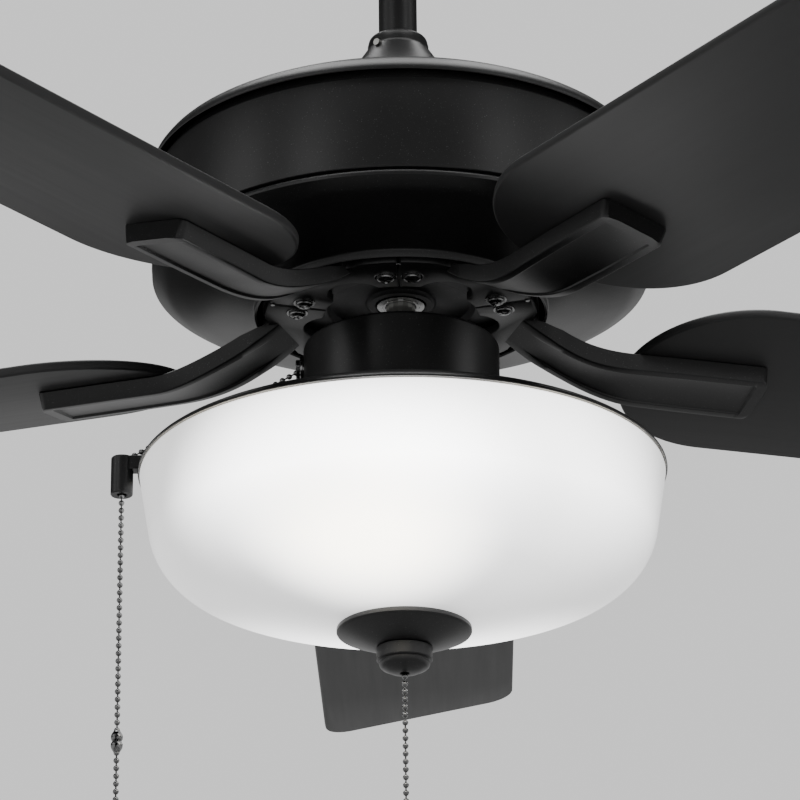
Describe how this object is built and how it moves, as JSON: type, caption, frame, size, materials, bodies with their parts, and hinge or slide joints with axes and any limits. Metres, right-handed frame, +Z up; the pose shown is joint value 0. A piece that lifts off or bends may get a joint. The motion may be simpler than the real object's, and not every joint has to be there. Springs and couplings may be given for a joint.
{
  "type": "ceiling fan with light",
  "caption": "Downrod ceiling fan with pitched blades on cast irons, a round motor housing, a glass bowl light and bead pull chains.",
  "frame": {"origin": "centre of the hanger bracket's top face, where it meets the ceiling, on the fan's vertical axis", "axes": "+Z up out of the bracket into the ceiling; -Y towards the viewer; -X towards the side the fan's pull chain hangs on"},
  "size_m": [1.2869, 1.2259, 0.7369],
  "materials": {
    "satin_black": "satin black paint",
    "blade_black": "dark charcoal laminate on a plywood blade",
    "zinc_steel": "zinc-plated steel",
    "bright_nickel": "bright nickel plate",
    "core_steel": "bare laminated and cast steel",
    "cast_alloy": "dark painted die-cast alloy",
    "copper_wire": "enamelled copper wire",
    "phenolic": "matte black moulded plastic",
    "opal_glass": "opal white glass",
    "lamp_white": "frosted white lamp",
    "rubber": "matte",
    "gunmetal_chain": "dark gunmetal bead chain"
  },
  "bodies": {
    "ceiling": {"hanger_bracket": "zinc_steel", "canopy": "satin_black", "canopy_screw_left": "bright_nickel", "canopy_screw_right": "bright_nickel"},
    "hung": {"hanger_ball": "phenolic", "ball_cross_pin": "zinc_steel", "downrod": "satin_black", "coupling_cover": "satin_black", "coupling_set_screw": "zinc_steel", "motor_shaft": "zinc_steel", "yoke_pin": "zinc_steel", "housing_dome": "satin_black", "housing_band": "satin_black", "housing_lower": "satin_black", "upper_bearing": "bright_nickel", "lower_bearing": "bright_nickel", "stator_core": "core_steel", "upper_winding": "copper_wire", "lower_winding": "copper_wire", "shaft_nut": "bright_nickel", "switch_housing_nut": "zinc_steel", "switch_housing": "satin_black", "capacitor": "phenolic", "fan_pull_switch": "phenolic", "light_pull_switch": "phenolic", "reverse_switch": "phenolic", "centre_rod": "zinc_steel", "centre_rod_nut": "zinc_steel", "fitter_pan": "satin_black", "glass_bowl": "opal_glass", "rubber_washer": "rubber", "finial_disc": "satin_black", "finial_knob": "satin_black", "socket_bracket": "zinc_steel", "lamp_holder_1": "phenolic", "lamp_holder_2": "phenolic", "lamp_1": "lamp_white", "lamp_2": "lamp_white", "chain_guide": "satin_black"},
    "rotor": {"rotor_shell": "cast_alloy", "rotor_cover": "cast_alloy", "blade_iron_1": "satin_black", "blade_iron_2": "satin_black", "blade_iron_3": "satin_black", "blade_iron_4": "satin_black", "blade_iron_5": "satin_black", "blade_1": "blade_black", "blade_2": "blade_black", "blade_3": "blade_black", "blade_4": "blade_black", "blade_5": "blade_black"},
    "fan_run": {"fan_chain_run": "gunmetal_chain"},
    "fan_pull_chain": {"fan_chain_drop": "gunmetal_chain", "fan_chain_connector": "gunmetal_chain", "fan_chain_lower": "gunmetal_chain", "fan_chain_fob": "satin_black"},
    "light_pull_chain": {"light_chain": "gunmetal_chain", "light_chain_fob": "satin_black"},
    "reverse_knob": {"reverse_slider": "phenolic"}
  },
  "joints": [
    {"name": "hang_tilt", "type": "hinge", "parent": "ceiling", "child": "hung", "pos_m": [0, 0, -0.0322], "axis": [0, 1, 0], "range_deg": [-15, 15]},
    {"name": "rotor_spin", "type": "hinge", "parent": "hung", "child": "rotor", "pos_m": [0, 0, -0.28], "axis": [0, 0, 1], "continuous": true},
    {"name": "fan_pull", "type": "slide", "parent": "hung", "child": "fan_pull_chain", "axis": [0, 0, -1], "range_m": [0, 0.008], "stiffness_N_per_m": 300},
    {"name": "fan_run_slide", "type": "slide", "parent": "hung", "child": "fan_run", "axis": [-0.8752, 0, -0.4838], "range_m": [0, 0.008]},
    {"name": "light_pull", "type": "slide", "parent": "hung", "child": "light_pull_chain", "axis": [0, 0, -1], "range_m": [0, 0.008], "stiffness_N_per_m": 300},
    {"name": "reverse_slide", "type": "slide", "parent": "hung", "child": "reverse_knob", "axis": [1, 0, 0], "range_m": [0, 0.006]}
  ],
  "couplings": [
    {"joint": "fan_run_slide", "follows": "fan_pull", "ratio": 1}
  ]
}
